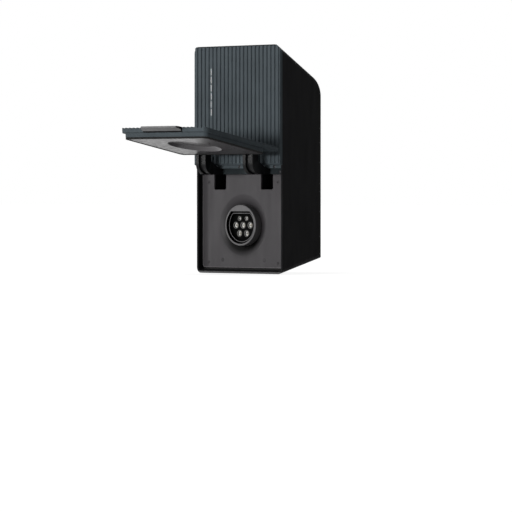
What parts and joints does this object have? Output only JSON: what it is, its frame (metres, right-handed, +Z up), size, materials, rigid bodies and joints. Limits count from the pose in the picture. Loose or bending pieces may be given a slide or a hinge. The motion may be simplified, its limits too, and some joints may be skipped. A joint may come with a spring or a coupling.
{
  "type": "ev wallbox",
  "caption": "Wall-mounted electric vehicle charger: tapered box with ribbed cover, lift-up ribbed flap on gooseneck hinge arms over a recessed flat-topped socket.",
  "frame": {"origin": "middle of the four wall fixing holes, on the flat rear face that lies against the wall", "axes": "+Y into the wall, so the front faces -Y; +Z up; +X to the right of someone facing the box"},
  "size_m": [0.212, 0.3496, 0.4219],
  "materials": {
    "housing_black": "fine-textured moulding",
    "slate_skin": "satin ribbed moulding",
    "inner_grey": "satin moulding",
    "light_window": "diffusing window, unlit",
    "circuit_board": "solder mask",
    "component_black": "moulded case",
    "beam_navy": "satin",
    "arm_black": "semi-gloss moulding",
    "socket_black": "semi-gloss moulding",
    "seal_rubber": "soft matt rubber",
    "washer": "low-wear plastic",
    "steel": "plain",
    "plate_steel": "zinc plated",
    "contact_metal": "silver plated copper alloy",
    "terminal_grey": "moulded",
    "screw_dark": "black zinc"
  },
  "bodies": {
    "box": {"arm_wells": "housing_black", "beam_screws": "screw_dark", "board_components": "component_black", "board_standoffs": "steel", "cable_grommet": "seal_rubber", "catch_plates": "steel", "contact_carrier": "socket_black", "contactor": "component_black", "control_board": "circuit_board", "cover_screws": "screw_dark", "current_sensor": "component_black", "equipment_plate": "plate_steel", "friction_washers": "washer", "front_cover": "slate_skin", "hinge_beam": "beam_navy", "hinge_pins": "steel", "housing": "housing_black", "indicator_board": "circuit_board", "light_guide": "light_window", "lock_actuator": "component_black", "panel_screws": "screw_dark", "panel_seal": "seal_rubber", "plate_screws": "screw_dark", "power_contacts": "contact_metal", "signal_contacts": "contact_metal", "socket_body": "socket_black", "socket_gasket": "seal_rubber", "socket_panel": "inner_grey", "socket_screws": "screw_dark", "terminal_block": "terminal_grey"},
    "flap": {"flap_cover": "slate_skin", "flap_liner": "inner_grey", "flap_seal": "seal_rubber", "flap_magnets": "steel", "finger_pull": "inner_grey", "hinge_arm_left": "arm_black", "hinge_arm_right": "arm_black", "arm_screws": "screw_dark", "liner_screws": "screw_dark"},
    "lock": {"lock_bolt": "steel"}
  },
  "joints": [
    {"name": "flap_hinge", "type": "hinge", "parent": "box", "child": "flap", "pos_m": [0, -0.1105, 0.02687], "axis": [1, 0, 0], "range_deg": [0, 100]},
    {"name": "lock_slide", "type": "slide", "parent": "box", "child": "lock", "axis": [0, 0, -1], "range_m": [0, 0.006]}
  ]
}
